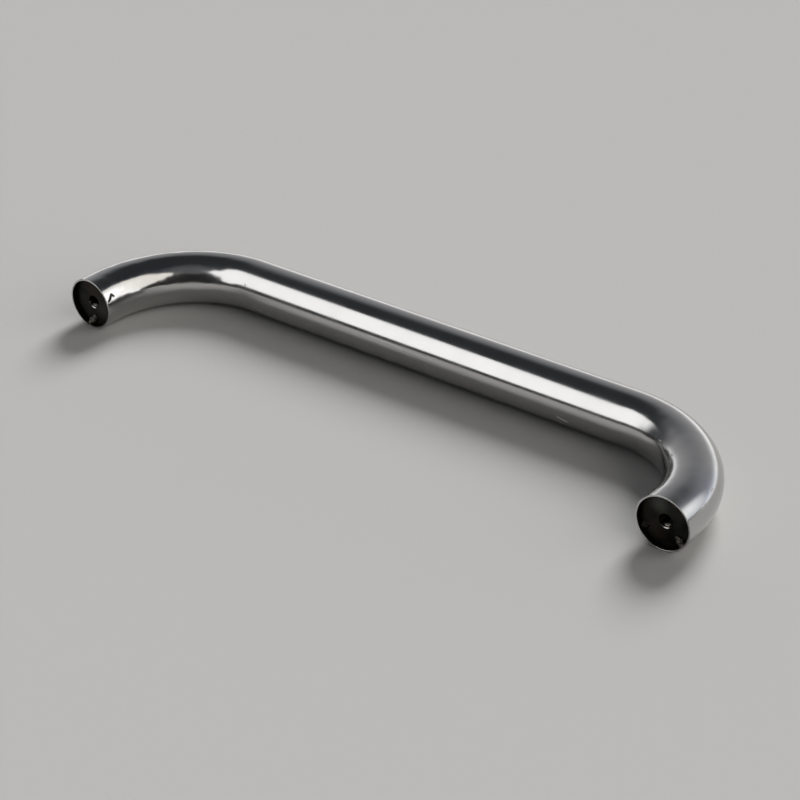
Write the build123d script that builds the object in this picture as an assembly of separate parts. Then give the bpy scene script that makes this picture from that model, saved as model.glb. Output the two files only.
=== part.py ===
from build123d import *
import os

# Bridge pull handle: one length of thin stainless tube bent to a shallow U, with a tapped steel
# plug tack-welded just inside each open end. A screw through the door pulls on each plug and
# the two tube ends bear on the door.
#
# Frame, in millimetres: X runs along the bar, Y = 0 is the plane that the tube ends bear on,
# the bar stands off towards +Y, and Z = 0 is the plane of the bent centreline. The origin is
# midway between the two fixing screws.

# The bent tube.
tube_diameter = 25.4
tube_wall = 0.8
fixing_centres = 320.0      # screw to screw, and leg to leg
bend_radius = 53.0          # to the tube's centreline
straight_leg = 8.3          # from the tube end to where the bend starts
rim_round = 0.15            # deburred edge round each open end

# The tapped plugs: turned slugs with an M6 x 1 thread right through, seated in the straight
# part of each leg.
plug_recess = 2.5           # from the tube end down to the plug's face
plug_to_bend = 0.3          # from the plug's back to where the bend starts
plug_fit = 0.05             # radial gap to the tube's bore
plug_edge = 0.3             # chamfer round the slug
thread_minor = 5.0          # tapping size of M6
countersink_diameter = 6.6

# The tack welds, dabs of filler in the corner between plug and tube.
weld_radius = 3.0
weld_below_rim = 0.4        # how far the top of a dab stays under the tube end
weld_inset = 0.4            # from the bore in to the centre of a dab
left_weld_angles = (-103.0, 55.0)           # about the leg, in degrees from +X towards +Z
right_weld_angles = (-43.0, 70.0, -150.0)

# Worked out from the sizes above.
tube_radius = tube_diameter / 2
bore_radius = tube_radius - tube_wall
leg_x = fixing_centres / 2
bar_y = straight_leg + bend_radius
bar_length = fixing_centres - 2 * bend_radius
plug_radius = bore_radius - plug_fit
plug_thickness = straight_leg - plug_recess - plug_to_bend
weld_height = plug_recess - weld_below_rim


def across_leg(x, y):
    """The plane square to a leg at height y over the mounting plane, facing the bar."""
    return Plane(origin=(x, y, 0), x_dir=(1, 0, 0), z_dir=(0, 1, 0))


def bent_tube():
    """Leg, bend, bar, bend and leg of one tube, open at both ends."""
    section = Circle(tube_radius) - Circle(bore_radius)
    leg = extrude(across_leg(-leg_x, 0) * section, straight_leg)
    bend_axis = Axis((-leg_x + bend_radius, straight_leg, 0), (0, 0, -1))
    bend = revolve(across_leg(-leg_x, straight_leg) * section, bend_axis, 90)
    bar_start = Plane(origin=(-bar_length / 2, bar_y, 0), x_dir=(0, 1, 0), z_dir=(1, 0, 0))
    bar = extrude(bar_start * section, bar_length)
    other_side = mirror(leg + bend, about=Plane.YZ)
    tube = leg + bend + bar + other_side
    rims = tube.edges().filter_by(GeomType.CIRCLE).group_by(Axis.Y)[0]
    return fillet(rims, rim_round)


def tapped_plug(x):
    """A slug seated inside the tube end at x, drilled to the thread's tapping size."""
    plug = extrude(across_leg(x, plug_recess) * Circle(plug_radius), plug_thickness)
    plug = chamfer(plug.edges().filter_by(GeomType.CIRCLE), plug_edge)
    hole = extrude(across_leg(x, plug_recess) * Circle(thread_minor / 2), plug_thickness)
    plug -= hole
    mouth = plug.edges().filter_by(GeomType.CIRCLE).group_by(Axis.Y)[0].sort_by(SortBy.RADIUS)[0]
    return chamfer(mouth, (countersink_diameter - thread_minor) / 2)


def tack_welds(x, angles):
    """Dabs of filler that fill the corner over the plug, each cut to the bore and the plug's face."""
    recess = extrude(across_leg(x, 0) * Circle(bore_radius), plug_recess)
    dabs = []
    for angle in angles:
        reach = Vector(bore_radius - weld_inset, 0, 0).rotate(Axis.Y, -angle)
        centre = Vector(x, plug_recess - weld_height + weld_radius, 0) + reach
        dab = Pos(centre) * Sphere(weld_radius) & recess
        dabs.append(dab.solid())
    return Compound(children=dabs)


nodes = {
    "bent_tube": bent_tube(),
    "left_tapped_plug": tapped_plug(-leg_x),
    "right_tapped_plug": tapped_plug(leg_x),
    "left_tack_welds": tack_welds(-leg_x, left_weld_angles),
    "right_tack_welds": tack_welds(leg_x, right_weld_angles),
}

os.makedirs("parts", exist_ok=True)
for name, shape in nodes.items():
    export_step(shape, f"parts/{name}.step")
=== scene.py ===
import math

import bmesh
import bpy
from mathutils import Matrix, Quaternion, Vector, noise


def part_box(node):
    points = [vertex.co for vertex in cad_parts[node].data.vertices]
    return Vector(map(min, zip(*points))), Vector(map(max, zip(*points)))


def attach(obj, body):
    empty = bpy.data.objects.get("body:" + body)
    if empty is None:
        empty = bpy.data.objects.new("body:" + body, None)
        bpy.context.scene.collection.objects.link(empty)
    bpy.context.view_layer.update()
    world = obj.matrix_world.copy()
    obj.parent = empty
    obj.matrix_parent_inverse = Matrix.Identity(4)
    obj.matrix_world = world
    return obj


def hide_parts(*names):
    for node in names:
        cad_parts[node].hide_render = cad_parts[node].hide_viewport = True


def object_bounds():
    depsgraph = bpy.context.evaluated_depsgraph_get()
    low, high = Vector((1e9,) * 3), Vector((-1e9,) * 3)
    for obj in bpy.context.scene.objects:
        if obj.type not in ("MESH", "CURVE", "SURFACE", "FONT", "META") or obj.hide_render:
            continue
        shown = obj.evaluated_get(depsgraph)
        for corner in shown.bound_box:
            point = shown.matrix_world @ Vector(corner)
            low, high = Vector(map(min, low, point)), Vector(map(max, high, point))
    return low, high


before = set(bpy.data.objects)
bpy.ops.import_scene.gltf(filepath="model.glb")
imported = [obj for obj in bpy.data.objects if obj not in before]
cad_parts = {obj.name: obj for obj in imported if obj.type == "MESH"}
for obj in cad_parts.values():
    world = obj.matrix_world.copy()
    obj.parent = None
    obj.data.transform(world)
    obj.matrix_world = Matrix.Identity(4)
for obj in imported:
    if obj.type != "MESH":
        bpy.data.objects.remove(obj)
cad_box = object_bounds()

# ---------------------------------------------------------------------------------------------
# The bent tube: one length of thin-walled 1 in stainless tube, cold-bent at both ends round a
# former, cut square, deburred, and polished along its length with a fine belt and then a mop.
# Nothing is fixed to its outside; the plugs go inside its two open ends.
# ---------------------------------------------------------------------------------------------
tube_low, tube_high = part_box("bent_tube")
tube_radius = (tube_high.z - tube_low.z) / 2
leg_x = tube_high.x - tube_radius
bar_y = tube_high.y - tube_radius
bend_radius = 0.053
tube_wall = 0.0008
rim_round = 0.00015
points_round_tube = 96
step_along_tube = 0.0015
fillet_points = 400


def add(tree, kind, inputs=None, **settings):
    """Adds a node with its settings. An input is a value, or the output socket that feeds it."""
    made = tree.nodes.new(kind)
    for name, value in settings.items():
        setattr(made, name, value)
    for name, value in (inputs or {}).items():
        if isinstance(value, bpy.types.NodeSocket):
            tree.links.new(value, made.inputs[name])
        else:
            made.inputs[name].default_value = value
    return made


def linear(hex_colour):
    """An sRGB hex colour as the linear RGBA that a socket takes."""
    shares = [int(hex_colour[i:i + 2], 16) / 255 for i in (1, 3, 5)]
    return [s / 12.92 if s <= 0.04045 else ((s + 0.055) / 1.055) ** 2.4 for s in shares] + [1.0]


def new_material(name):
    """An empty node material and its tree."""
    material = bpy.data.materials.new(name)
    material.use_nodes = True
    material.node_tree.nodes.clear()
    return material, material.node_tree


# Places on the tube's skin: how far along it from the left end, and two distances across it, towards
# the side inside the bends and downwards. The sweep below stores them as "along_tube".
straight_leg = bar_y - bend_radius
tube_length = 2 * straight_leg + math.pi * bend_radius + 2 * (leg_x - bend_radius)


def mark(tree, place, start, end, width):
    """1 on the line of a scratch, falling to 0 at the edge of its width. An end of the line is
    (mm along, degrees from the top inwards)."""
    ends = []
    for along, turn in (start, end):
        turn = math.radians(turn)
        ends.append(Vector((along / 1000, tube_radius * math.sin(turn), -tube_radius * math.cos(turn))))
    line = ends[1] - ends[0]
    reach = add(tree, "ShaderNodeVectorMath", {0: place, 1: ends[0]}, operation="SUBTRACT").outputs[0]
    share = add(tree, "ShaderNodeVectorMath", {
        0: reach, 1: line / line.length_squared}, operation="DOT_PRODUCT").outputs["Value"]
    share = add(tree, "ShaderNodeClamp", {"Value": share}).outputs[0]
    foot = add(tree, "ShaderNodeVectorMath", {0: line, "Scale": share}, operation="SCALE").outputs[0]
    gap = add(tree, "ShaderNodeVectorMath", {0: reach, 1: foot}, operation="DISTANCE").outputs["Value"]
    return add(tree, "ShaderNodeMapRange", {
        "Value": gap, "From Min": width / 5, "From Max": width / 2, "To Min": 1.0, "To Max": 0.0,
    }).outputs["Result"]


def any_mark(tree, place, lines, width):
    """The strongest of several scratches of one width."""
    strongest = 0.0
    for start, end in lines:
        strongest = add(tree, "ShaderNodeMath", {
            0: mark(tree, place, start, end, width), 1: strongest}, operation="MAXIMUM").outputs[0]
    return strongest


# Polished stainless steel: a neutral grey metal. The belt leaves fine lines along the tube that the
# mop doesn't quite take out. Bending left shallow dimples, and small creases inside each bend.
steel, tree = new_material("polished_stainless_tube")
place = add(tree, "ShaderNodeAttribute", attribute_name="along_tube").outputs["Vector"]
part = add(tree, "ShaderNodeSeparateXYZ", {"Vector": place}).outputs
polish_line_length = 0.014
polish_line_width = 0.00035
lines = add(tree, "ShaderNodeTexNoise", {
    "Vector": add(tree, "ShaderNodeMapping", {
        "Vector": place,
        "Scale": (1 / polish_line_length, 1 / polish_line_width, 1 / polish_line_width),
    }).outputs["Vector"],
    "Scale": 1.0, "Detail": 3.0, "Roughness": 0.6,
}).outputs["Fac"]
haze_size = 0.018
haze = add(tree, "ShaderNodeTexNoise", {
    "Vector": place, "Scale": 1 / haze_size, "Detail": 4.0, "Roughness": 0.55,
}).outputs["Fac"]
from_middle = add(tree, "ShaderNodeMath", {
    0: add(tree, "ShaderNodeMath", {0: part["X"], 1: tube_length / 2}, operation="SUBTRACT").outputs[0],
}, operation="ABSOLUTE").outputs[0]
bar_half = leg_x - bend_radius
marks_before_bend, marks_full_in_bend = 0.006, 0.018
in_bend = add(tree, "ShaderNodeMapRange", {
    "Value": from_middle,
    "From Min": bar_half - marks_before_bend, "From Max": bar_half + marks_full_in_bend,
}, interpolation_type="SMOOTHSTEP").outputs["Result"]
dimple_length, dimple_width, dimple_depth = 0.010, 0.007, 0.0003
dimples = add(tree, "ShaderNodeTexNoise", {
    "Vector": add(tree, "ShaderNodeMapping", {
        "Vector": place, "Scale": (1 / dimple_length, 1 / dimple_width, 1 / dimple_width),
    }).outputs["Vector"],
    "Scale": 1.0, "Detail": 1.0,
}).outputs["Fac"]
dimples_on_right, dimples_on_bar = 0.3, 0.015
dimple_share = add(tree, "ShaderNodeMath", {
    0: add(tree, "ShaderNodeMapRange", {
        "Value": part["X"], "From Max": tube_length, "To Min": 1.0, "To Max": dimples_on_right,
    }).outputs["Result"],
    1: add(tree, "ShaderNodeMapRange", {
        "Value": in_bend, "To Min": dimple_depth * dimples_on_bar, "To Max": dimple_depth,
    }).outputs["Result"],
}, operation="MULTIPLY").outputs[0]
crease_pitch, crease_length, crease_depth = 0.0018, 0.006, 0.000005
creases = add(tree, "ShaderNodeTexNoise", {
    "Vector": add(tree, "ShaderNodeMapping", {
        "Vector": place, "Scale": (1 / crease_pitch, 1 / crease_length, 1 / crease_length),
    }).outputs["Vector"],
    "Scale": 1.0, "Detail": 2.0,
}).outputs["Fac"]
inner_side = add(tree, "ShaderNodeMapRange", {
    "Value": part["Y"], "From Min": 0.3 * tube_radius, "From Max": 0.9 * tube_radius,
    "To Max": crease_depth}).outputs["Result"]
crease_share = add(tree, "ShaderNodeMath", {0: inner_side, 1: in_bend}, operation="MULTIPLY").outputs[0]

# A nick by the left end that a spanner left, its bottom dark, and scratches from handling, their paler
# colour a painted glint.
nick_width, nick_depth = 0.0016, 0.00006
scratch_width, scratch_depth = 0.0006, 0.00015
fine_scratch_width = 0.0005
polish_line_depth = 0.0000012
nick = any_mark(tree, place, (
    ((1.2, 70.5), (3.9, 59.0)),
    ((2.2, 68.0), (4.2, 58.5)),
    ((4.2, 58.5), (5.0, 63.5)),
), nick_width)
scratches = any_mark(tree, place, (
    ((274.9, 107.0), (279.8, 113.0)),
    ((338.0, 55.5), (339.6, 54.5)),
    ((355.4, 44.8), (358.2, 43.4)),
    ((375.6, 306.6), (377.8, 305.4)),
    ((384.2, 300.4), (386.4, 299.6)),
    ((93.2, 62.0), (94.0, 65.0)),
), scratch_width)
fine_scratches = any_mark(tree, place, (
    ((149.9, 104.5), (164.4, 125.5)),
    ((98.0, 108.0), (103.5, 116.0)),
    ((153.0, 112.0), (158.5, 117.5)),
    ((170.0, 76.5), (189.0, 78.0)),
    ((183.0, 79.5), (207.0, 80.0)),
), fine_scratch_width)
height = add(tree, "ShaderNodeMath", {0: dimples, 1: dimple_share}, operation="MULTIPLY").outputs[0]
for pattern, depth in ((creases, crease_share), (lines, polish_line_depth), (nick, -nick_depth),
                       (scratches, -scratch_depth)):
    height = add(tree, "ShaderNodeMath", {
        0: pattern, 1: depth, 2: height}, operation="MULTIPLY_ADD").outputs[0]
colour = add(tree, "ShaderNodeMix", {
    "Factor": haze, "A": linear("#C5C4C3"), "B": linear("#BCBBBA"),
}, data_type="RGBA").outputs["Result"]
# The scratches and fine lines are mixed towards near white as a painted glint, and the nick towards dark
# brown.
for marked, marked_colour, most in ((fine_scratches, "#E2E1DF", 0.5), (scratches, "#F2F1EF", 0.9),
                                (nick, "#26241F", 1.0)):
    share = add(tree, "ShaderNodeMath", {0: marked, 1: most}, operation="MULTIPLY").outputs[0]
    colour = add(tree, "ShaderNodeMix", {
        "Factor": share, "A": colour, "B": linear(marked_colour)}, data_type="RGBA").outputs["Result"]
roughness = add(tree, "ShaderNodeMapRange", {
    "Value": haze, "From Min": 0.3, "From Max": 0.7, "To Min": 0.11, "To Max": 0.17,
}).outputs["Result"]
for pattern, more in ((lines, 0.04), (fine_scratches, 0.2), (scratches, 0.4), (nick, 0.3)):
    roughness = add(tree, "ShaderNodeMath", {
        0: pattern, 1: more, 2: roughness}, operation="MULTIPLY_ADD").outputs[0]
add(tree, "ShaderNodeOutputMaterial", {"Surface": add(tree, "ShaderNodeBsdfPrincipled", {
    "Base Color": colour, "Metallic": 1.0, "Roughness": roughness,
    "Normal": add(tree, "ShaderNodeBump", {"Height": height, "Distance": 1.0}).outputs["Normal"],
}).outputs[0]})

# Drawn bore: the same steel as it came from the tube mill, never polished, painted nearly black as the
# shade inside the tube.
bore, tree = new_material("tube_bore_painted_shade")
place = add(tree, "ShaderNodeTexCoord").outputs["Object"]
mottle_size = 0.003
mottle = add(tree, "ShaderNodeTexNoise", {
    "Vector": place, "Scale": 1 / mottle_size, "Detail": 3.0,
}).outputs["Fac"]
colour = add(tree, "ShaderNodeMix", {
    "Factor": mottle, "A": linear("#23211E"), "B": linear("#3A3631"),
}, data_type="RGBA").outputs["Result"]
add(tree, "ShaderNodeOutputMaterial", {"Surface": add(tree, "ShaderNodeBsdfPrincipled", {
    "Base Color": colour, "Metallic": 1.0, "Roughness": 0.42,
}).outputs[0]})


def bent_tube_tree():
    """Sweeps a circle along leg, bend, bar, bend and leg, and keeps each point's place on it."""
    tree = bpy.data.node_groups.new("bent_tube", "GeometryNodeTree")
    sizes = {}
    for name, kind in (("Leg distance", "Float"), ("Bar height", "Float"), ("Bend radius", "Float"),
                       ("Bend points", "Int"), ("Tube radius", "Float"), ("Points round", "Int"),
                       ("Step along", "Float"), ("Steel", "Material")):
        sizes[name] = tree.interface.new_socket(name, in_out="INPUT", socket_type="NodeSocket" + kind)
    tree.interface.new_socket("Tube", in_out="OUTPUT", socket_type="NodeSocketGeometry")
    size = add(tree, "NodeGroupInput").outputs
    left = add(tree, "ShaderNodeMath", {
        0: size["Leg distance"], 1: -1.0}, operation="MULTIPLY").outputs[0]
    route = add(tree, "GeometryNodeCurvePrimitiveQuadrilateral", {
        "Point 1": add(tree, "ShaderNodeCombineXYZ", {"X": left}).outputs[0],
        "Point 2": add(tree, "ShaderNodeCombineXYZ", {"X": left, "Y": size["Bar height"]}).outputs[0],
        "Point 3": add(tree, "ShaderNodeCombineXYZ", {
            "X": size["Leg distance"], "Y": size["Bar height"]}).outputs[0],
        "Point 4": add(tree, "ShaderNodeCombineXYZ", {"X": size["Leg distance"]}).outputs[0],
    }, mode="POINTS").outputs["Curve"]
    route = add(tree, "GeometryNodeSetSplineCyclic", {"Geometry": route, "Cyclic": False}).outputs[0]
    route = add(tree, "GeometryNodeFilletCurve", {
        "Curve": route, "Count": size["Bend points"], "Radius": size["Bend radius"],
    }, mode="POLY").outputs[0]
    route = add(tree, "GeometryNodeResampleCurve", {
        "Curve": route, "Length": size["Step along"],
    }, mode="LENGTH").outputs[0]
    route = add(tree, "GeometryNodeStoreNamedAttribute", {
        "Geometry": route, "Name": "arc",
        "Value": add(tree, "GeometryNodeSplineParameter").outputs["Length"],
    }, data_type="FLOAT").outputs[0]
    section = add(tree, "GeometryNodeCurvePrimitiveCircle", {
        "Radius": size["Tube radius"], "Resolution": size["Points round"],
    }).outputs["Curve"]
    section = add(tree, "GeometryNodeStoreNamedAttribute", {
        "Geometry": section, "Name": "section",
        "Value": add(tree, "GeometryNodeInputPosition").outputs[0],
    }, data_type="FLOAT_VECTOR").outputs[0]
    skin = add(tree, "GeometryNodeCurveToMesh", {"Curve": route, "Profile Curve": section}).outputs[0]
    arc = add(tree, "GeometryNodeInputNamedAttribute", {"Name": "arc"}, data_type="FLOAT").outputs[0]
    around = add(tree, "ShaderNodeSeparateXYZ", {
        "Vector": add(tree, "GeometryNodeInputNamedAttribute", {"Name": "section"},
                      data_type="FLOAT_VECTOR").outputs[0],
    }).outputs
    skin = add(tree, "GeometryNodeStoreNamedAttribute", {
        "Geometry": skin, "Name": "along_tube",
        "Value": add(tree, "ShaderNodeCombineXYZ", {
            "X": arc, "Y": around["X"], "Z": around["Y"]}).outputs[0],
    }, data_type="FLOAT_VECTOR").outputs[0]
    for name in ("arc", "section"):
        skin = add(tree, "GeometryNodeRemoveAttribute", {"Geometry": skin, "Name": name}).outputs[0]
    skin = add(tree, "GeometryNodeSetShadeSmooth", {"Geometry": skin}).outputs[0]
    skin = add(tree, "GeometryNodeRealizeInstances", {"Geometry": skin}).outputs[0]
    skin = add(tree, "GeometryNodeSetMaterial", {"Geometry": skin, "Material": size["Steel"]}).outputs[0]
    tree.links.new(skin, add(tree, "NodeGroupOutput").inputs[0])
    return tree, {name: socket.identifier for name, socket in sizes.items()}


def placed(name, mesh):
    """A new object at the origin that shows a mesh whose vertices are already in place."""
    piece = bpy.data.objects.new(name, mesh)
    bpy.context.scene.collection.objects.link(piece)
    return piece


tube_tree, size_ids = bent_tube_tree()
blank = placed("tube_blank", bpy.data.meshes.new("tube_blank"))
sweep = blank.modifiers.new("sweep", "NODES")
sweep.node_group = tube_tree
for name, value in (("Leg distance", leg_x), ("Bar height", bar_y), ("Bend radius", bend_radius),
                    ("Bend points", fillet_points), ("Tube radius", tube_radius),
                    ("Points round", points_round_tube), ("Step along", step_along_tube),
                    ("Steel", steel)):
    sweep[size_ids[name]] = value
bpy.context.view_layer.update()
depsgraph = bpy.context.evaluated_depsgraph_get()
tube = placed("polished_tube", bpy.data.meshes.new_from_object(blank.evaluated_get(depsgraph)))
bpy.data.objects.remove(blank)
tube.data.materials.clear()
tube.data.materials.append(steel)
tube.data.materials.append(bore)
wall = tube.modifiers.new("wall", "SOLIDIFY")
wall.thickness = tube_wall
wall.offset = -1.0
wall.use_even_offset = True
wall.material_offset = 1
deburr = tube.modifiers.new("deburr", "BEVEL")
deburr.width = rim_round
deburr.segments = 3
deburr.limit_method = "ANGLE"
deburr.angle_limit = math.radians(50)
deburr.harden_normals = True
bpy.context.view_layer.update()
depsgraph = bpy.context.evaluated_depsgraph_get()
walled = bpy.data.meshes.new_from_object(tube.evaluated_get(depsgraph))
tube.modifiers.clear()
tube.data = walled
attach(tube, "root")
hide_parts("bent_tube")

# ---------------------------------------------------------------------------------------------
# The tapped plugs: two slugs turned from mild steel bar, faced, chamfered, drilled and tapped
# M6 x 1 right through, then pushed a little way into the tube ends and tacked there.
# ---------------------------------------------------------------------------------------------
thread_minor_radius = 0.0025
thread_depth = 0.0005
thread_pitch = 0.001
countersink_radius = 0.0033
plug_edge = 0.0003
points_round_plug = 96
rows_per_pitch = 12
face_rows = 10
crest_flat, root_flat = 0.25, 0.125     # shares of the pitch, as on any metric thread
sharp_angle = math.radians(28)

# Turned mild steel, blackened by mill oil and the heat of tacking: nearly black with brown patches,
# a painted highlight patch on each face, a low sheen, and the facing tool's fine rings round the hole.
plug_steel, tree = new_material("blackened_turned_steel")
place = add(tree, "ShaderNodeTexCoord").outputs["Object"]
axes = add(tree, "ShaderNodeSeparateXYZ", {"Vector": place}).outputs
across = add(tree, "ShaderNodeMath", {0: axes["X"]}, operation="ABSOLUTE").outputs[0]
across = add(tree, "ShaderNodeMath", {0: across, 1: leg_x}, operation="SUBTRACT").outputs[0]
from_axis = add(tree, "ShaderNodeVectorMath", {
    0: add(tree, "ShaderNodeCombineXYZ", {"X": across, "Y": axes["Z"]}).outputs[0],
}, operation="LENGTH").outputs["Value"]
ring_pitch, ring_depth = 0.0003, 0.000006
rings = add(tree, "ShaderNodeTexWave", {
    "Vector": add(tree, "ShaderNodeCombineXYZ", {"X": from_axis}).outputs[0],
    "Scale": math.pi / 10 / ring_pitch, "Distortion": 0.0,
}, wave_type="BANDS", bands_direction="X").outputs["Fac"]
film_size = 0.007
film = add(tree, "ShaderNodeTexNoise", {
    "Vector": place, "Scale": 1 / film_size, "Detail": 4.0, "Roughness": 0.6,
}).outputs
colour = add(tree, "ShaderNodeMix", {
    "Factor": add(tree, "ShaderNodeMapRange", {
        "Value": film["Fac"], "From Min": 0.35, "From Max": 0.65}).outputs["Result"],
    "A": linear("#1A1B19"), "B": linear("#2E2D29"),
}, data_type="RGBA").outputs["Result"]
heat_tint_size = 0.016
heat_tint = add(tree, "ShaderNodeTexNoise", {
    "Vector": place, "Scale": 1 / heat_tint_size, "Detail": 1.0,
}).outputs["Fac"]
colour = add(tree, "ShaderNodeMix", {
    "Factor": add(tree, "ShaderNodeMapRange", {
        "Value": heat_tint, "From Min": 0.45, "From Max": 0.65, "To Max": 0.4}).outputs["Result"],
    "A": colour, "B": linear("#33261F"),
}, data_type="RGBA").outputs["Result"]
# Painted light: each face is mixed towards a paler grey in a round patch that stands for the light
# falling on it there.
painted_light_patches = (((-leg_x + 0.007, -0.004), 0.008), ((leg_x - 0.003, 0.007), 0.006))
for (x, z), reach in painted_light_patches:
    gap = add(tree, "ShaderNodeVectorMath", {
        0: add(tree, "ShaderNodeCombineXYZ", {"X": axes["X"], "Y": axes["Z"]}).outputs[0],
        1: (x, z, 0)}, operation="DISTANCE").outputs["Value"]
    share = add(tree, "ShaderNodeMapRange", {
        "Value": gap, "From Max": reach, "To Min": 0.8, "To Max": 0.0,
    }, interpolation_type="SMOOTHSTEP").outputs["Result"]
    colour = add(tree, "ShaderNodeMix", {
        "Factor": share, "A": colour, "B": linear("#4A4A45")}, data_type="RGBA").outputs["Result"]
roughness = add(tree, "ShaderNodeMapRange", {
    "Value": film["Fac"], "From Min": 0.3, "From Max": 0.7, "To Min": 0.34, "To Max": 0.5,
}).outputs["Result"]
ring_height = add(tree, "ShaderNodeMath", {0: rings, 1: ring_depth}, operation="MULTIPLY").outputs[0]
add(tree, "ShaderNodeOutputMaterial", {"Surface": add(tree, "ShaderNodeBsdfPrincipled", {
    "Base Color": colour, "Metallic": 1.0, "Roughness": roughness,
    "Normal": add(tree, "ShaderNodeBump", {"Height": ring_height, "Distance": 1.0}).outputs["Normal"],
}).outputs[0]})

# Cut hole: the same steel where the drill, countersink and tap cut it. Its colour is painted near black
# as the shade in the hole, with a painted glint on the thread's crests and the countersink by the mouth.
hole_steel, tree = new_material("cut_hole_painted_glint_and_shade")
place = add(tree, "ShaderNodeTexCoord").outputs["Object"]
axes = add(tree, "ShaderNodeSeparateXYZ", {"Vector": place}).outputs
leg = add(tree, "ShaderNodeMath", {0: axes["X"]}, operation="SIGN").outputs[0]
across = add(tree, "ShaderNodeMath", {
    0: leg, 1: -leg_x, 2: axes["X"]}, operation="MULTIPLY_ADD").outputs[0]
from_axis = add(tree, "ShaderNodeCombineXYZ", {"X": across, "Y": axes["Z"]}).outputs[0]
radius = add(tree, "ShaderNodeVectorMath", {0: from_axis}, operation="LENGTH").outputs["Value"]
in_groove = add(tree, "ShaderNodeMapRange", {
    "Value": radius, "From Min": thread_minor_radius + 0.05 * thread_depth,
    "From Max": thread_minor_radius + 0.5 * thread_depth}).outputs["Result"]
in_thread = add(tree, "ShaderNodeMath", {
    0: radius, 1: thread_minor_radius + 1.05 * thread_depth}, operation="LESS_THAN").outputs[0]
# The painted glint lies on one side of the hole's lower wall, turned a little differently at each plug.
glint_turn_left, glint_turn_right = math.radians(-118), math.radians(-94)
painted_glint_side = add(tree, "ShaderNodeMix", {
    "Factor": add(tree, "ShaderNodeMath", {0: leg, 1: 0.0}, operation="GREATER_THAN").outputs[0],
    "A": (math.cos(glint_turn_left), math.sin(glint_turn_left), 0),
    "B": (math.cos(glint_turn_right), math.sin(glint_turn_right), 0),
}, data_type="VECTOR").outputs["Result"]
painted_glint = add(tree, "ShaderNodeMapRange", {
    "Value": add(tree, "ShaderNodeVectorMath", {
        0: from_axis, 1: painted_glint_side}, operation="DOT_PRODUCT").outputs["Value"],
    "From Min": 0.76 * thread_minor_radius, "From Max": 0.98 * thread_minor_radius,
}, interpolation_type="SMOOTHSTEP").outputs["Result"]
plug_face_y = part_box("left_tapped_plug")[0].y
# The painted glint fades out deeper into the hole.
bright_down_to, dark_from = 0.001, 0.0028
near_mouth = add(tree, "ShaderNodeMapRange", {
    "Value": axes["Y"], "From Min": plug_face_y + bright_down_to, "From Max": plug_face_y + dark_from,
    "To Min": 1.0, "To Max": 0.0,
}, interpolation_type="SMOOTHSTEP").outputs["Result"]
dull = add(tree, "ShaderNodeMath", {0: in_groove, 1: in_thread}, operation="MULTIPLY").outputs[0]
bright = add(tree, "ShaderNodeMath", {0: 1.0, 1: dull}, operation="SUBTRACT").outputs[0]
for share in (painted_glint, near_mouth):
    bright = add(tree, "ShaderNodeMath", {0: bright, 1: share}, operation="MULTIPLY").outputs[0]
colour = add(tree, "ShaderNodeMix", {
    "Factor": bright, "A": linear("#141311"), "B": linear("#A6A29B"),
}, data_type="RGBA").outputs["Result"]
add(tree, "ShaderNodeOutputMaterial", {"Surface": add(tree, "ShaderNodeBsdfPrincipled", {
    "Base Color": colour, "Metallic": 1.0, "Roughness": 0.2,
}).outputs[0]})


def closed_ring_grid(name, rows, axis_x):
    """A closed mesh of quads from rows of (radius, y) round a leg's axis, the last row meeting
    the first. A row's radius may change round it, so each row lists one (radius, y) a point."""
    mesh = bpy.data.meshes.new(name)
    shape = bmesh.new()
    grid = []
    for row in rows:
        ring = []
        for k, (radius, y) in enumerate(row):
            turn = 2 * math.pi * k / len(row)
            ring.append(shape.verts.new((axis_x + radius * math.cos(turn), y, radius * math.sin(turn))))
        grid.append(ring)
    for i, ring in enumerate(grid):
        following = grid[(i + 1) % len(grid)]
        for k in range(len(ring)):
            n = (k + 1) % len(ring)
            shape.faces.new((ring[k], ring[n], following[n], following[k]))
    bmesh.ops.recalc_face_normals(shape, faces=shape.faces)
    for face in shape.faces:
        face.smooth = True
        across = max(math.hypot(v.co.x - axis_x, v.co.z) for v in face.verts)
        deep = max(v.co.y for v in face.verts) > rows[0][0][1]
        face.material_index = int(across < 1.01 * countersink_radius and deep)
    shape.to_mesh(mesh)
    shape.free()
    mesh.set_sharp_from_angle(angle=sharp_angle)
    return mesh


def thread_radius(turn, y):
    """Radius of the tapped wall of a right-hand metric thread at an angle and a height."""
    share = (y / thread_pitch + turn / (2 * math.pi)) % 1.0
    from_crest = abs(share - 0.5) * 2
    flank = min(1.0, max(0.0, (from_crest - crest_flat) / (1 - crest_flat - root_flat)))
    return thread_minor_radius + thread_depth * flank


def plug_rows(face_y, back_y, radius):
    """The plug's rows from its front face outwards, round its side and back through the thread."""
    def level(r, y):
        return [(r, y)] * points_round_plug

    rows = [level(radius - plug_edge - s * (radius - plug_edge - countersink_radius) / face_rows, face_y)
            for s in range(face_rows, -1, -1)]
    rows += [level(radius, face_y + plug_edge), level(radius, back_y - plug_edge)]
    rows += [level(radius - plug_edge, back_y), level((radius + thread_minor_radius) / 2, back_y)]
    count = round((back_y - face_y) / thread_pitch * rows_per_pitch)
    for i in range(count, 0, -1):
        y = face_y + (back_y - face_y) * i / count
        cone = countersink_radius - (y - face_y)
        rows.append([(max(cone, thread_radius(2 * math.pi * k / points_round_plug, y)), y)
                     for k in range(points_round_plug)])
    return rows


for side in ("left", "right"):
    node_name = side + "_tapped_plug"
    low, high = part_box(node_name)
    mesh = closed_ring_grid(
        side + "_plug", plug_rows(low.y, high.y, (high.x - low.x) / 2), (low.x + high.x) / 2)
    mesh.materials.append(plug_steel)
    mesh.materials.append(hole_steel)
    plug = placed(side + "_threaded_plug", mesh)
    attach(plug, "root")
    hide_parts(node_name)
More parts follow.
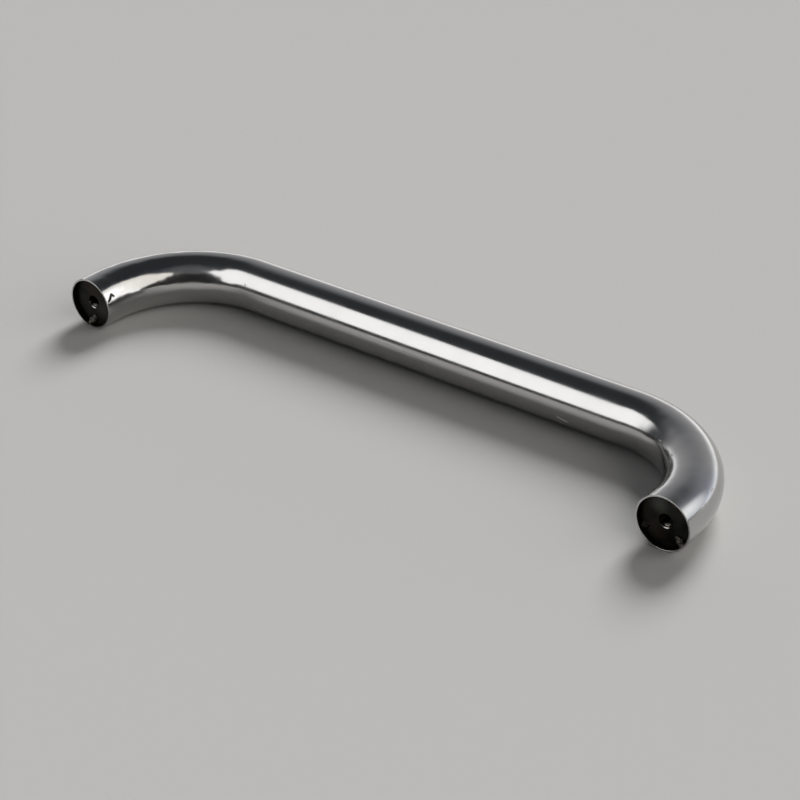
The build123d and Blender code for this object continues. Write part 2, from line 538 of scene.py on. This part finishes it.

# ---------------------------------------------------------------------------------------------
# The tack welds: short dabs of filler in the corner between the plug's face and the bore, a little
# under the rim, three at the right end and two at the left. They are left rough and heat-darkened, and
# each is painted darker by its own amount as the shade it lies in.
# ---------------------------------------------------------------------------------------------
weld_steel, tree = new_material("as_welded_filler")
place = add(tree, "ShaderNodeTexCoord").outputs["Object"]
tint_size = 0.0014
tint = add(tree, "ShaderNodeTexNoise", {
    "Vector": place, "Scale": 1 / tint_size, "Detail": 3.0, "Roughness": 0.6,
}).outputs["Fac"]
# Each dab's own darkening stands partly for soot and partly for painted shade.
soot_and_shade = add(tree, "ShaderNodeAttribute", attribute_name="soot_and_shade").outputs["Fac"]
colour = add(tree, "ShaderNodeMix", {
    "Factor": add(tree, "ShaderNodeMath", {
        0: add(tree, "ShaderNodeMapRange", {
            "Value": tint, "From Min": 0.35, "From Max": 0.65, "To Min": -0.4, "To Max": 0.4,
        }).outputs["Result"],
        1: soot_and_shade,
    }, operation="ADD", use_clamp=True).outputs[0],
    "A": linear("#6E6963"), "B": linear("#1F1C19"),
}, data_type="RGBA").outputs["Result"]
skin_size, skin_depth = 0.0005, 0.00003
skin = add(tree, "ShaderNodeTexNoise", {
    "Vector": place, "Scale": 1 / skin_size, "Detail": 2.0,
}).outputs["Fac"]
skin_height = add(tree, "ShaderNodeMath", {0: skin, 1: skin_depth}, operation="MULTIPLY").outputs[0]
add(tree, "ShaderNodeOutputMaterial", {"Surface": add(tree, "ShaderNodeBsdfPrincipled", {
    "Base Color": colour, "Metallic": 1.0, "Roughness": 0.42,
    "Normal": add(tree, "ShaderNodeBump", {"Height": skin_height, "Distance": 1.0}).outputs["Normal"],
}).outputs[0]})

bore_radius = tube_radius - tube_wall
sink = 0.00002              # how deep a dab goes into the bore and the plug's face
wall_overreach = 0.02       # the same before a dab is trimmed, as a share of its size

# A dab swells and shrinks in broad lumps, in smaller knobs and in faint wavering ripples. Each has
# its amount and how often it comes over a dab. A dab also slumps away from the bore.
lump_amount, lump_rate = 0.22, 1.7
knob_amount, knob_rate = 0.10, 4.5
ripple_amount, ripple_rate = 0.02, 14
waver_amount, waver_rate = 2, 2
slump = 0.35
seed_step = 7.3


def pressed_into_corner(point):
    """Leaves the open quarter of a unit ball as it is, and spreads the other three quarters over the
    two walls of the corner, a hair beyond them: half on the bore and half on the plug's face."""
    around = math.atan2(point.y, point.x) % (2 * math.pi)
    away = math.hypot(point.x, point.y)
    if around <= math.pi / 2:
        return point.copy()
    share = (around - math.pi / 2) / (1.5 * math.pi)
    if share < 0.5:
        return Vector((-wall_overreach, away * (1 - 2 * share), point.z))
    return Vector((away * (2 * share - 1), -wall_overreach, point.z))


def weld_bead(shape, axis_x, face_y, turn, half_width, reach, height, taper, lean, soot_and_shade, seed):
    """Adds one dab: a lumpy dome in the corner, flat where it meets the bore and the plug. A taper
    above 0 narrows it away from the bore and one below 0 widens it, a lean moves its far part
    sideways, and soot is how dark it is made: partly soot, partly painted shade."""
    made = bmesh.ops.create_icosphere(shape, subdivisions=5, radius=1.0)["verts"]
    darkening_layer = shape.verts.layers.float["soot_and_shade"]
    out = Vector((math.cos(turn), 0, math.sin(turn)))
    side = Vector((-math.sin(turn), 0, math.cos(turn)))
    corner = Vector((axis_x, face_y, 0)) + out * bore_radius
    for vertex in made:
        p = pressed_into_corner(vertex.co)
        lump = 1 + lump_amount * noise.noise(p * lump_rate + Vector((seed, 0, 0)))
        lump += knob_amount * noise.noise(p * knob_rate + Vector((0, seed, 0)))
        waver = waver_amount * noise.noise(p * waver_rate + Vector((0, 0, seed)))
        lump += ripple_amount * math.cos(p.x * ripple_rate + waver)
        inward = p.x * reach * lump
        up = p.y * height * lump * (1 - slump * max(0.0, p.x))
        far = max(0.0, p.x)
        wide = p.z * half_width * lump * (1 - taper * far) + lean * half_width * far
        spot = corner - out * inward - Vector((0, up, 0)) + side * wide
        radial = Vector((spot.x - axis_x, 0, spot.z))
        most = bore_radius + sink
        if radial.length > most:
            radial = radial.normalized() * most
        spot = Vector((axis_x + radial.x, min(spot.y, face_y + sink), radial.z))
        spot.y = max(spot.y, face_y - height)
        vertex.co = spot
        vertex[darkening_layer] = soot_and_shade


# Each dab's place in degrees about the leg, its half width, reach and height in mm, then its
# taper, lean and darkness, which is partly soot and partly painted shade.
dabs = {
    "left": ((-103, 1.8, 4.6, 2.3, -0.45, 0.9, 0.35), (55, 2.3, 2.5, 1.8, 0.2, 0.0, 0.6)),
    "right": ((-43, 1.7, 4.4, 2.2, -0.4, 0.1, 0.6), (70, 2.4, 2.8, 1.9, 0.2, 0.0, 0.8),
              (-150, 2.0, 4.0, 1.1, 0.5, 0.0, 1.0)),
}
for side, sizes in dabs.items():
    low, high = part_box(side + "_tapped_plug")
    mesh = bpy.data.meshes.new(side + "_welds")
    shape = bmesh.new()
    shape.verts.layers.float.new("soot_and_shade")
    for n, (degrees, half_width, reach, height, taper, lean, soot_and_shade) in enumerate(sizes):
        weld_bead(shape, (low.x + high.x) / 2, low.y, math.radians(degrees), half_width / 1000,
                  reach / 1000, height / 1000, taper, lean, soot_and_shade, seed_step * n + len(side))
    for face in shape.faces:
        face.smooth = True
    shape.to_mesh(mesh)
    shape.free()
    mesh.materials.append(weld_steel)
    welds = placed(side + "_weld_beads", mesh)
    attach(welds, "root")
    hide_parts(side + "_tack_welds")

# ---------------------------------------------------------------------------------------------
# The studio: a pale matt floor that two far lamps light evenly, softboxes, a strip and black cloths
# that only the metal mirrors, a dim room with a window, and the camera. None is part of the handle.
# ---------------------------------------------------------------------------------------------
centre = Vector((0, bar_y / 2, 0))
floor_z = cad_box[0].z
floor_radius = 9.0
floor_material, tree = new_material("matt_paper")
add(tree, "ShaderNodeOutputMaterial", {"Surface": add(tree, "ShaderNodeBsdfPrincipled", {
    "Base Color": linear("#C4C3C1"), "Roughness": 1.0, "Specular IOR Level": 0.0,
}).outputs[0]})
floor_mesh = bpy.data.meshes.new("floor")
floor_mesh.from_pydata([(x, y, floor_z) for x, y in (
    (-floor_radius, -floor_radius), (floor_radius, -floor_radius),
    (floor_radius, floor_radius), (-floor_radius, floor_radius))], [], [(0, 1, 2, 3)])
floor_mesh.materials.append(floor_material)
floor = placed("floor", floor_mesh)


def towards(azimuth, elevation):
    """Unit vector to a place round the object: azimuth from +Y towards +X, both in degrees."""
    a, e = math.radians(azimuth), math.radians(elevation)
    return Vector((math.sin(a) * math.cos(e), math.cos(a) * math.cos(e), math.sin(e)))


def facing(thing, azimuth, elevation, distance, roll=0.0):
    """Puts a lamp or a card at a distance from the handle, square to the line to it."""
    way = towards(azimuth, elevation)
    thing.location = centre + way * distance
    thing.rotation_mode = "QUATERNION"
    thing.rotation_quaternion = way.to_track_quat("Z", "Y") @ Quaternion((0, 0, 1), math.radians(roll))
    thing.visible_camera = False
    bpy.context.scene.collection.objects.link(thing)
    return thing


def softbox(name, azimuth, elevation, distance, width, height, radiance, hex_colour="#FFFFFF",
            roll=0.0):
    """A flat rectangular lamp that faces the handle. It is equally bright all over until a node
    tree of its own dims a part of it."""
    data = bpy.data.lights.new(name, "AREA")
    data.shape = "RECTANGLE"
    data.size, data.size_y = width, height
    data.energy = radiance * math.pi * width * height
    data.color = linear(hex_colour)[:3]
    return facing(bpy.data.objects.new(name, data), azimuth, elevation, distance, roll)


far_lamp_distance = 5.0     # only for its place in the scene: a sun lamp is as bright anywhere


def far_lamp(name, azimuth, elevation, spread, strength, hex_colour="#FFFFFF"):
    """A lamp so far off that it lights the whole floor alike. The metal doesn't mirror it."""
    data = bpy.data.lights.new(name, "SUN")
    data.angle = math.radians(spread)
    data.energy = strength
    data.color = linear(hex_colour)[:3]
    lamp = facing(bpy.data.objects.new(name, data), azimuth, elevation, far_lamp_distance)
    lamp.visible_glossy = False


warm_white = "#FFFBF3"
far_lamp("back_key", -15, 34, spread=28, strength=3.2)
far_lamp("right_fill", 82, 30, spread=60, strength=1.26, hex_colour=warm_white)
front_width, front_height = 3.98, 2.65
mirrored = (
    softbox("front_left_softbox", -131, 30, distance=2.8, width=front_width, height=front_height,
            radiance=1.60, roll=3),
    softbox("right_softbox", 82, 30, distance=2.2, width=3.10, height=2.20, radiance=1.32,
            hex_colour=warm_white, roll=-4),
    softbox("horizon_strip", -20, 0, distance=0.28, width=1.8, height=0.034, radiance=0.6),
)
for lamp in mirrored:
    lamp.visible_diffuse = False
    lamp.data.use_nodes = lamp is mirrored[0]

# The front softbox fades out over a metre at its far side and loses its far upper corner. A light's
# own coordinates run from 0 at the far side to 1, and from 0 at the bottom to 1. Each fade below
# has its slope outwards and upwards, and where it starts and ends in metres from the middle.
tree = mirrored[0].data.node_tree
tree.nodes.clear()
from_middle = add(tree, "ShaderNodeVectorMath", {
    0: add(tree, "ShaderNodeNewGeometry").outputs["Parametric"], 1: (0.5, 0.5, 0),
}, operation="SUBTRACT").outputs[0]
brightness = 1.0
for outwards, upwards, fade_start, fade_end in ((1.0, -0.5, 0.45, 1.55), (0.85, 1.0, 1.42, 1.72)):
    reach = add(tree, "ShaderNodeVectorMath", {
        0: from_middle, 1: (-outwards * front_width, upwards * front_height, 0),
    }, operation="DOT_PRODUCT").outputs["Value"]
    fade = add(tree, "ShaderNodeMapRange", {
        "Value": reach, "From Min": fade_start, "From Max": fade_end, "To Min": 1.0, "To Max": 0.0,
    }, interpolation_type="SMOOTHSTEP").outputs["Result"]
    brightness = add(tree, "ShaderNodeMath", {0: brightness, 1: fade}, operation="MULTIPLY").outputs[0]
add(tree, "ShaderNodeOutputLight", {"Surface": add(tree, "ShaderNodeEmission", {
    "Strength": brightness}).outputs[0]})

black_cloth, tree = new_material("black_cloth")
add(tree, "ShaderNodeOutputMaterial", {"Surface": add(tree, "ShaderNodeBsdfPrincipled", {
    "Base Color": linear("#242424"), "Roughness": 1.0, "Specular IOR Level": 0.0,
}).outputs[0]})


def flag(name, azimuth, distance, corners):
    """A flat black cloth square to an azimuth, which only the metal mirrors. Its corners are at
    (azimuth, elevation) in degrees."""
    mesh = bpy.data.meshes.new(name)
    spots = []
    for around, up in corners:
        way = towards(around, up)
        spots.append(centre + way * distance / way.dot(towards(azimuth, 0)))
    mesh.from_pydata(spots, [], [tuple(range(len(spots)))])
    mesh.materials.append(black_cloth)
    cloth = placed(name, mesh)
    cloth.visible_camera = False
    cloth.visible_shadow = False
    cloth.visible_diffuse = False


flag("left_skirt", -142, 0.40, (
    (-187, -1.9), (-187, 8), (-142, 9.5), (-97, 8), (-97, -1.9)))
flag("right_skirt", 80, 0.90, ((44, -0.8), (44, 3), (80, 4.5), (116, 4), (116, -0.8)))
flag("camera_side_flag_right", 100, 1.30, (
    (70, -0.5), (92, 11), (114, 27), (131, 38.5), (131, -0.5)))
flag("camera_side_flag_left", 168, 1.30, (
    (131, -0.5), (131, 38.5), (175, 40), (191, 22), (203, 5), (207, -0.5)))

# The room is brightest low down behind the handle, dim on the camera's side and cooler to the right.
# Two soft glows show in the metal: a window's behind it, and a faint one over the camera's side.
world = bpy.data.worlds.new("dim_room")
bpy.context.scene.world = world
world.use_nodes = True
tree = world.node_tree
tree.nodes.clear()
direction = add(tree, "ShaderNodeSeparateXYZ", {
    "Vector": add(tree, "ShaderNodeTexCoord").outputs["Generated"]}).outputs
climb = add(tree, "ShaderNodeMath", {0: direction["Z"]}, operation="ABSOLUTE").outputs[0]


def room_side(stops):
    """The room's colour from the floor's edge up, from a list of (elevation in degrees, colour)."""
    ramp = add(tree, "ShaderNodeValToRGB", {"Fac": climb})
    elements = ramp.color_ramp.elements
    for n, (degrees, hex_colour) in enumerate(stops):
        place = math.sin(math.radians(degrees))
        stop = elements[n] if n < 2 else elements.new(place)
        stop.position = place
        stop.color = linear(hex_colour)
    return ramp.outputs["Color"]


behind = room_side(((0, "#FFFFFF"), (5, "#F0F0F0"), (11, "#ACACAD"), (17, "#989899"), (23, "#8F8F91"),
                    (29, "#868789"), (35, "#797A7D"), (41, "#626466"), (46, "#3E4042"), (50, "#2D2F31")))
before = room_side(((0, "#46484A"), (50, "#2E3033")))
turned = add(tree, "ShaderNodeMapRange", {
    "Value": direction["Y"], "From Min": -0.05, "From Max": 0.4,
}, interpolation_type="SMOOTHSTEP").outputs["Result"]
room = add(tree, "ShaderNodeMix", {"Factor": turned, "A": before, "B": behind}, data_type="RGBA")
window_side = add(tree, "ShaderNodeMapRange", {
    "Value": direction["X"], "From Min": -0.1, "From Max": 0.4,
}, interpolation_type="SMOOTHSTEP").outputs["Result"]
room = add(tree, "ShaderNodeMix", {
    "Factor": window_side, "A": room.outputs["Result"], "B": linear("#E3E9F6"),
}, data_type="RGBA", blend_type="MULTIPLY")
for middle, core, reach, glow_colour in (
        (towards(42, 20), 0, 18, "#E8EBF0"), (towards(150, 49), 12, 36, "#5C5E60")):
    glow = add(tree, "ShaderNodeMapRange", {
        "Value": add(tree, "ShaderNodeVectorMath", {
            0: add(tree, "ShaderNodeTexCoord").outputs["Generated"], 1: middle,
        }, operation="DOT_PRODUCT").outputs["Value"],
        "From Min": math.cos(math.radians(reach)), "From Max": math.cos(math.radians(core)),
    }, interpolation_type="SMOOTHSTEP").outputs["Result"]
    room = add(tree, "ShaderNodeMix", {
        "Factor": glow, "A": room.outputs["Result"], "B": linear(glow_colour)}, data_type="RGBA")
add(tree, "ShaderNodeOutputWorld", {"Surface": add(
    tree, "ShaderNodeBackground", {"Color": room.outputs["Result"], "Strength": 1.3}).outputs[0]})

camera_azimuth = 38.99
camera_elevation = 30.26
camera_roll = -1.54
camera_distance = 0.8949
look_at = Vector((0.01647, 0.01539, 0))
camera_data = bpy.data.cameras.new("camera")
camera_data.sensor_width = 36
camera_data.lens = 92.25
camera_data.clip_start, camera_data.clip_end = 0.01, 40
camera = bpy.data.objects.new("camera", camera_data)
back = towards(180 - camera_azimuth, camera_elevation)
camera.location = look_at + back * camera_distance
camera.rotation_mode = "QUATERNION"
roll = Quaternion((0, 0, 1), math.radians(camera_roll))
camera.rotation_quaternion = back.to_track_quat("Z", "Y") @ roll
bpy.context.scene.collection.objects.link(camera)
bpy.context.scene.camera = camera
bpy.context.scene.view_settings.view_transform = "Standard"
